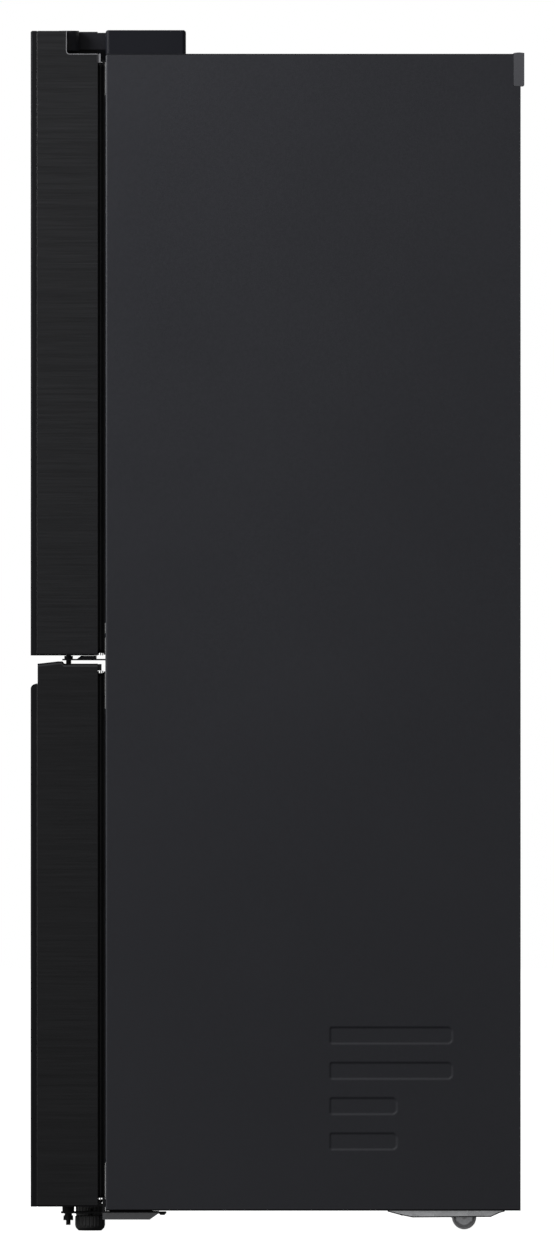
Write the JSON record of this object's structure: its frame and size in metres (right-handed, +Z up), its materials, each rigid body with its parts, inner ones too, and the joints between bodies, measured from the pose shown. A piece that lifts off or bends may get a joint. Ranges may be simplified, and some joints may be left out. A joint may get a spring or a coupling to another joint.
{
  "type": "french door refrigerator",
  "caption": "Free-standing matte black french door refrigerator with upper and lower swing doors, recessed grips, hinge covers, drawers, shelves, levelling feet and a rear machine bay.",
  "frame": {"origin": "bottom centre of the bounding box, on the floor under the middle of the refrigerator", "axes": "+Z up, the doors face -Y, and +X is on the right of a person who faces the doors"},
  "size_m": [0.835, 0.734, 1.7852],
  "materials": {
    "cabinet_paint": "matte",
    "door_front_steel": "satin",
    "door_side_steel": "satin",
    "hinge_paint": "satin",
    "cap_plastic": "matte",
    "gasket_rubber": "matte",
    "grey_plastic": "matte",
    "liner_plastic": "satin",
    "trim_plastic": "satin",
    "clear_plastic": "gloss",
    "lens_plastic": "satin",
    "shelf_glass": "gloss",
    "foam": "matte",
    "zinc_steel": "satin",
    "screw_steel": "satin",
    "compressor_paint": "satin",
    "fin_aluminium": "satin",
    "roller_plastic": "matte",
    "foot_plastic": "matte"
  },
  "bodies": {
    "cabinet": {"cabinet_wrapper": "cabinet_paint", "back_panel": "zinc_steel", "bottom_panel": "zinc_steel", "front_frame": "cabinet_paint", "foam_insulation": "foam", "fridge_liner": "liner_plastic", "freezer_liners": "liner_plastic", "hinge_covers": "cap_plastic", "top_hinges": "hinge_paint", "mid_hinges": "zinc_steel", "bottom_hinges": "hinge_paint", "screws": "screw_steel", "wall_spacers": "grey_plastic", "machine_base_plate": "zinc_steel", "rear_cover": "zinc_steel", "compressor": "compressor_paint", "condenser": "fin_aluminium", "drain_pan": "cap_plastic", "fan_frame": "cap_plastic", "air_duct_cover": "liner_plastic", "lamp_lens": "lens_plastic", "shelf_glass": "shelf_glass", "shelf_frames": "trim_plastic", "freezer_back_covers": "liner_plastic", "evaporator": "fin_aluminium"},
    "condenser_fan": {"condenser_fan": "trim_plastic"},
    "rear_rollers": {"rear_rollers": "roller_plastic"},
    "foot_left": {"foot_left": "foot_plastic"},
    "foot_right": {"foot_right": "foot_plastic"},
    "crisper_left": {"crisper_left": "clear_plastic"},
    "crisper_right": {"crisper_right": "clear_plastic"},
    "drawer_upper_left": {"drawer_upper_left": "clear_plastic"},
    "drawer_upper_right": {"drawer_upper_right": "clear_plastic"},
    "drawer_lower_left": {"drawer_lower_left": "clear_plastic"},
    "drawer_lower_right": {"drawer_lower_right": "clear_plastic"},
    "door_upper_left": {"door_ul_panel": "door_front_steel", "door_ul_body": "door_side_steel", "door_ul_caps": "cap_plastic", "door_ul_liner": "liner_plastic", "door_ul_gasket": "gasket_rubber", "door_ul_bins": "clear_plastic"},
    "door_upper_right": {"door_ur_panel": "door_front_steel", "door_ur_body": "door_side_steel", "door_ur_caps": "cap_plastic", "door_ur_liner": "liner_plastic", "door_ur_gasket": "gasket_rubber", "door_ur_bins": "clear_plastic"},
    "door_lower_left": {"door_ll_panel": "door_front_steel", "door_ll_body": "door_side_steel", "door_ll_caps": "cap_plastic", "door_ll_liner": "liner_plastic", "door_ll_gasket": "gasket_rubber", "door_ll_bins": "clear_plastic"},
    "door_lower_right": {"door_lr_panel": "door_front_steel", "door_lr_body": "door_side_steel", "door_lr_caps": "cap_plastic", "door_lr_liner": "liner_plastic", "door_lr_gasket": "gasket_rubber", "door_lr_bins": "clear_plastic"},
    "flip_mullion": {"flip_mullion": "cap_plastic"}
  },
  "joints": [
    {"name": "door_upper_right_hinge", "type": "hinge", "parent": "cabinet", "child": "door_upper_right", "pos_m": [0.3925, -0.311, 1.32], "axis": [0, 0, 1], "range_deg": [0, 120]},
    {"name": "door_upper_left_hinge", "type": "hinge", "parent": "cabinet", "child": "door_upper_left", "pos_m": [-0.3925, -0.311, 1.32], "axis": [0, 0, -1], "range_deg": [0, 120]},
    {"name": "door_lower_right_hinge", "type": "hinge", "parent": "cabinet", "child": "door_lower_right", "pos_m": [0.3925, -0.311, 0.44], "axis": [0, 0, 1], "range_deg": [0, 120]},
    {"name": "door_lower_left_hinge", "type": "hinge", "parent": "cabinet", "child": "door_lower_left", "pos_m": [-0.3925, -0.311, 0.44], "axis": [0, 0, -1], "range_deg": [0, 120]},
    {"name": "flip_mullion_hinge", "type": "hinge", "parent": "door_upper_left", "child": "flip_mullion", "pos_m": [-0.0485, -0.2522, 1.29], "axis": [0, 0, 1], "range_deg": [0, 80.1]},
    {"name": "crisper_left_slide", "type": "slide", "parent": "cabinet", "child": "crisper_left", "axis": [0, -1, 0], "range_m": [0, 0.2221]},
    {"name": "crisper_right_slide", "type": "slide", "parent": "cabinet", "child": "crisper_right", "axis": [0, -1, 0], "range_m": [0, 0.2221]},
    {"name": "drawer_upper_left_slide", "type": "slide", "parent": "cabinet", "child": "drawer_upper_left", "axis": [0, -1, 0], "range_m": [0, 0.2221]},
    {"name": "drawer_upper_right_slide", "type": "slide", "parent": "cabinet", "child": "drawer_upper_right", "axis": [0, -1, 0], "range_m": [0, 0.2221]},
    {"name": "drawer_lower_left_slide", "type": "slide", "parent": "cabinet", "child": "drawer_lower_left", "axis": [0, -1, 0], "range_m": [0, 0.2221]},
    {"name": "drawer_lower_right_slide", "type": "slide", "parent": "cabinet", "child": "drawer_lower_right", "axis": [0, -1, 0], "range_m": [0, 0.2221]},
    {"name": "foot_left_turn", "type": "hinge", "parent": "cabinet", "child": "foot_left", "pos_m": [-0.384, -0.2786, 0.01], "axis": [0, 0, 1], "continuous": true},
    {"name": "foot_right_turn", "type": "hinge", "parent": "cabinet", "child": "foot_right", "pos_m": [0.384, -0.2786, 0.01], "axis": [0, 0, 1], "continuous": true},
    {"name": "rear_rollers_spin", "type": "hinge", "parent": "cabinet", "child": "rear_rollers", "pos_m": [0, 0.279, 0.018], "axis": [1, 0, 0], "continuous": true},
    {"name": "condenser_fan_spin", "type": "hinge", "parent": "cabinet", "child": "condenser_fan", "pos_m": [0.02, 0.255, 0.15], "axis": [1, 0, 0], "continuous": true}
  ],
  "couplings": [
    {"joint": "crisper_left_slide", "follows": "door_upper_left_hinge", "m_per_rad": 0.106},
    {"joint": "crisper_right_slide", "follows": "door_upper_right_hinge", "m_per_rad": 0.106},
    {"joint": "drawer_upper_left_slide", "follows": "door_lower_left_hinge", "m_per_rad": 0.106},
    {"joint": "drawer_upper_right_slide", "follows": "door_lower_right_hinge", "m_per_rad": 0.106},
    {"joint": "drawer_lower_left_slide", "follows": "door_lower_left_hinge", "m_per_rad": 0.106},
    {"joint": "drawer_lower_right_slide", "follows": "door_lower_right_hinge", "m_per_rad": 0.106},
    {"joint": "flip_mullion_hinge", "follows": "door_upper_left_hinge", "ratio": 0.6667}
  ]
}
